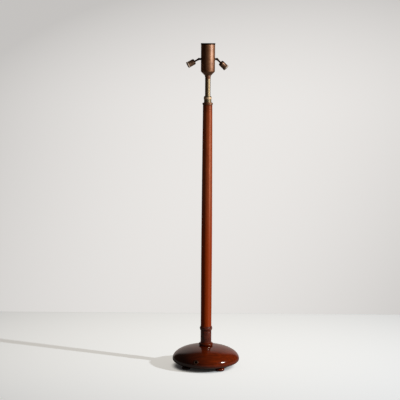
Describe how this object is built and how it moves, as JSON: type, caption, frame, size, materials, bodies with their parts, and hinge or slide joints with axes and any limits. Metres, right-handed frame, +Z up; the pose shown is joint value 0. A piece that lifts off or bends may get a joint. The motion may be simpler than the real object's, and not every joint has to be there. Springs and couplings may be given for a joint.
{
  "type": "candlestick floor lamp",
  "caption": "Floor lamp with a bun base on bun feet, leather-covered stem, brass mast that slides and turns, and a cup with a lampholder and hinged side lights.",
  "frame": {"origin": "on the floor under the stem's axis", "axes": "+Z up the stem; the front of the lamp, where the cord inlet is, faces -Y; +X to the right seen from the front; the line of side lights is turned 12 degrees from X"},
  "size_m": [0.276, 0.276, 1.3298],
  "materials": {
    "base_lacquer": "deep red-brown gloss lacquer with a copper cast",
    "ballast_iron": "plain grey casting",
    "cover_board": "dark hardboard",
    "bright_brass": "polished brass",
    "plated_steel": "dull zinc plate",
    "antique_copper": "polished copper, toned brown",
    "stem_wood": "turned beech",
    "stem_leather": "smooth cognac leather with a satin surface",
    "glide_nylon": "natural nylon",
    "dark_bronze": "nearly black bronze patina",
    "brown_brass": "brass, toned brown, satin",
    "porcelain": "glazed porcelain"
  },
  "bodies": {
    "stand": {"base_bun": "base_lacquer", "foot_front_right": "base_lacquer", "foot_back_right": "base_lacquer", "foot_back_left": "base_lacquer", "foot_front_left": "base_lacquer", "ballast_disc": "ballast_iron", "base_cover": "cover_board", "cover_screws": "bright_brass", "cord_eyelet": "antique_copper", "tie_rod": "plated_steel", "tie_washer": "plated_steel", "tie_nut": "plated_steel", "base_flange": "base_lacquer", "ferrule": "base_lacquer", "bead_ring": "base_lacquer", "stem_core": "stem_wood", "leather_sleeve": "stem_leather", "stem_foot_plug": "bright_brass", "top_flange": "antique_copper", "guide_bush": "bright_brass", "collet": "bright_brass"},
    "clamp_nut": {"clamp_nut": "bright_brass"},
    "mast_lift": {"mast_glide_ring": "glide_nylon"},
    "mast": {"mast_end_plug": "bright_brass", "mast_clip": "plated_steel", "mast_tube": "bright_brass", "cup_neck": "antique_copper", "nipple": "plated_steel", "cup_shell": "antique_copper", "cup_rim_ring": "dark_bronze", "cup_locknut": "bright_brass", "holder_cap": "bright_brass", "holder_body": "porcelain", "holder_screw_shell": "bright_brass", "holder_contact": "bright_brass", "holder_terminals": "bright_brass", "holder_screws": "bright_brass", "left_stub": "dark_bronze", "left_stub_nut": "bright_brass", "right_stub": "dark_bronze", "right_stub_nut": "bright_brass"},
    "left_light": {"left_arm": "dark_bronze", "left_knuckle_screw": "dark_bronze", "left_knuckle_nut": "dark_bronze", "left_socket_cap": "dark_bronze", "left_socket_sleeve": "brown_brass", "left_mouth_ring": "porcelain", "left_socket_core": "porcelain", "left_screw_shell": "bright_brass", "left_contact": "bright_brass"},
    "right_light": {"right_arm": "dark_bronze", "right_knuckle_screw": "dark_bronze", "right_knuckle_nut": "dark_bronze", "right_socket_cap": "dark_bronze", "right_socket_sleeve": "brown_brass", "right_mouth_ring": "porcelain", "right_socket_core": "porcelain", "right_screw_shell": "bright_brass", "right_contact": "bright_brass"}
  },
  "joints": [
    {"name": "clamp_turn", "type": "hinge", "parent": "stand", "child": "clamp_nut", "pos_m": [0, 0, 1.09286], "axis": [0, 0, 1], "range_deg": [0, 270]},
    {"name": "mast_slide", "type": "slide", "parent": "stand", "child": "mast_lift", "axis": [0, 0, 1], "range_m": [-0.066, 0.295]},
    {"name": "mast_turn", "type": "hinge", "parent": "mast_lift", "child": "mast", "pos_m": [0, 0, 0.73086], "axis": [0, 0, 1], "range_deg": [-170, 170]},
    {"name": "left_knuckle", "type": "hinge", "parent": "mast", "child": "left_light", "pos_m": [-0.03639, -0.00773, 1.26586], "axis": [0.2079, -0.9781, 0], "range_deg": [-88, 42]},
    {"name": "right_knuckle", "type": "hinge", "parent": "mast", "child": "right_light", "pos_m": [0.03639, 0.00773, 1.26586], "axis": [-0.2079, 0.9781, 0], "range_deg": [-103, 27]}
  ]
}
